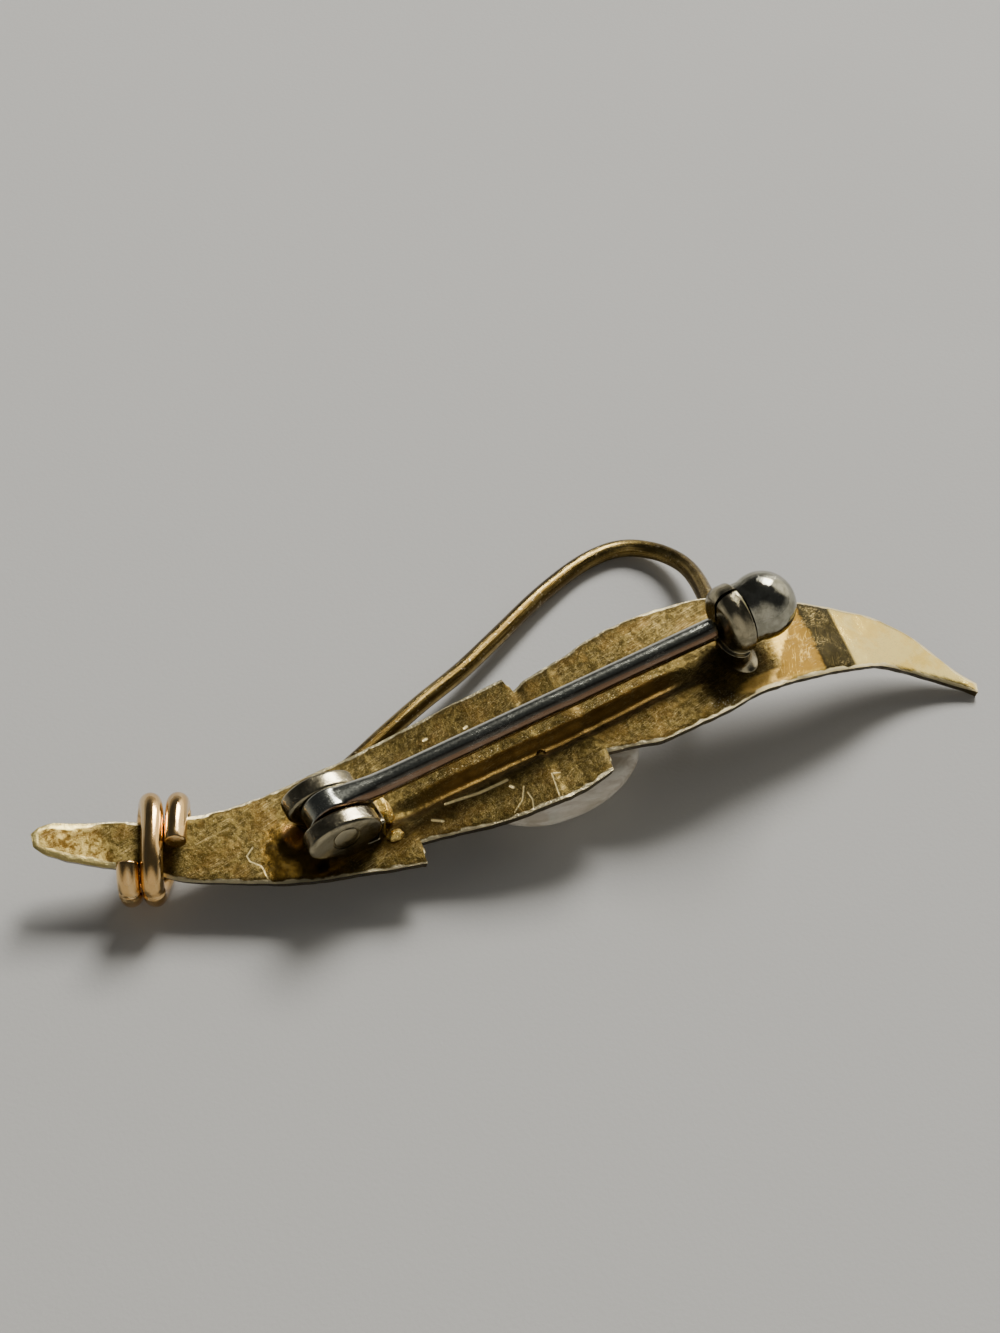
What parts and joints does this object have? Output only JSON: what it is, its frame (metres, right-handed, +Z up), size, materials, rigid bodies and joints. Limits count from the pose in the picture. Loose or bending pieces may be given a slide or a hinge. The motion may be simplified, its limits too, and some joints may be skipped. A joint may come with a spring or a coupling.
{
  "type": "pearl brooch",
  "caption": "Gold leaf brooch lying on its front, with a pearl, a curling wire tendril, a bound stem, a hinged pin and a turning safety catch on its back.",
  "frame": {"origin": "middle of the brooch's plan on the surface that it lies on, front down", "axes": "+X along the pin stem from the hinge to the catch, +Z up out of the brooch's back, +Y towards the side where the tendril curls"},
  "size_m": [0.0493, 0.0186, 0.0091],
  "materials": {
    "leaf_gold": "satin",
    "tendril_gold": "satin",
    "rose_gold": "polished",
    "pearl": "satin",
    "white_metal": "satin",
    "polished_white_metal": "polished"
  },
  "bodies": {
    "brooch": {"leaf": "leaf_gold", "pearl": "pearl", "tendril": "tendril_gold", "binding_coil": "rose_gold", "hinge_joint": "white_metal", "hinge_rivet": "white_metal", "catch_ring": "white_metal"},
    "pin": {"pin_stem": "white_metal"},
    "lock": {"catch_lock": "polished_white_metal"}
  },
  "joints": [
    {"name": "pin_swing", "type": "hinge", "parent": "brooch", "child": "pin", "pos_m": [-0.01082, -0.00355, 0.00409], "axis": [0, -1, 0], "range_deg": [0, 100]},
    {"name": "lock_turn", "type": "hinge", "parent": "brooch", "child": "lock", "pos_m": [0.01243, -0.0038, 0.00721], "axis": [0.9952, 0, 0.0976], "range_deg": [0, 180]}
  ]
}
